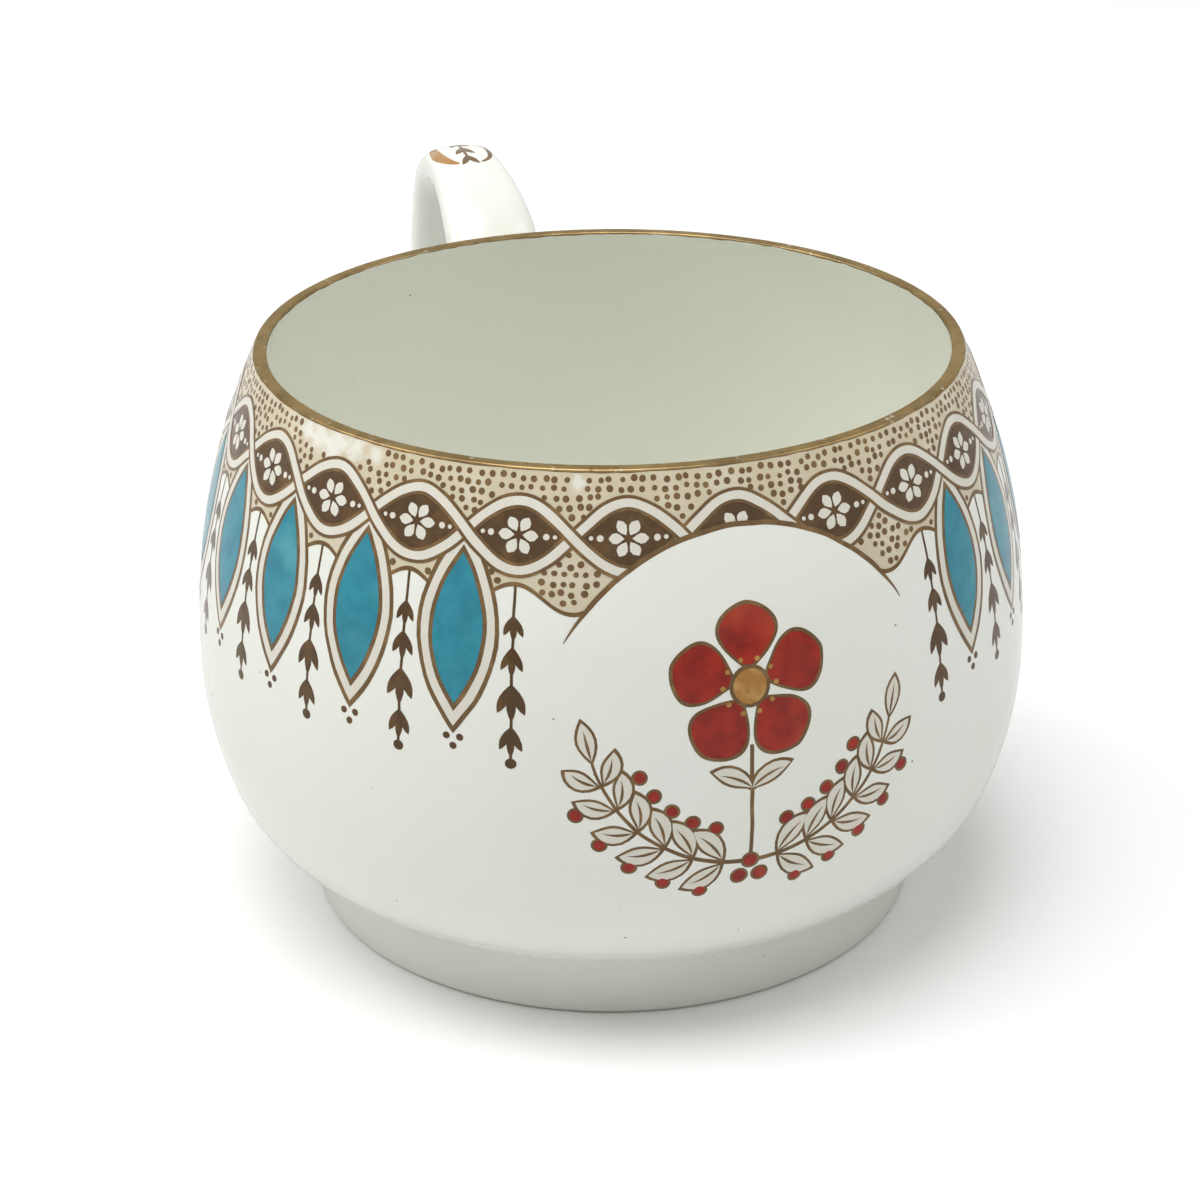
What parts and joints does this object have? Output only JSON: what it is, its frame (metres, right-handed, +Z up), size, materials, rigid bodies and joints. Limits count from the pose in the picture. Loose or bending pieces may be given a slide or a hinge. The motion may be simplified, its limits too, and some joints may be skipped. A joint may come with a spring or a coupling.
{
  "type": "coffee cup",
  "caption": "Round-bellied china coffee cup on a foot ring, with a gilt lip, a raised enamel border, a flower in a round reserve and a looped strap handle rising above the lip.",
  "frame": {"origin": "middle of the foot ring's standing edge, on the table", "axes": "+X from the cup's axis towards the handle, +Z up the cup's axis, +Y to complete a right-handed frame"},
  "size_m": [0.1073, 0.0818, 0.0608],
  "materials": {
    "glazed_china": "clear gloss glaze over white china",
    "foot_china": "gloss glaze, wiped from the standing edge",
    "glazed_slip": "gloss glaze over slip",
    "worn_gilding": "thin fired gilding, rubbed through in places",
    "turquoise_enamel": "raised gloss enamel, laid by brush",
    "red_enamel": "raised gloss enamel, laid by brush",
    "brown_print": "brown printed line under the glaze",
    "cream_print": "cream printed ground under the glaze"
  },
  "bodies": {
    "root": {"bowl": "glazed_china", "foot_ring": "foot_china", "handle": "glazed_china", "upper_slip_joint": "glazed_slip", "lower_slip_joint": "glazed_slip", "foot_slip_joint": "glazed_slip", "rim_gilding": "worn_gilding", "leaf_enamel": "turquoise_enamel", "flower_enamel": "red_enamel"}
  },
  "joints": []
}
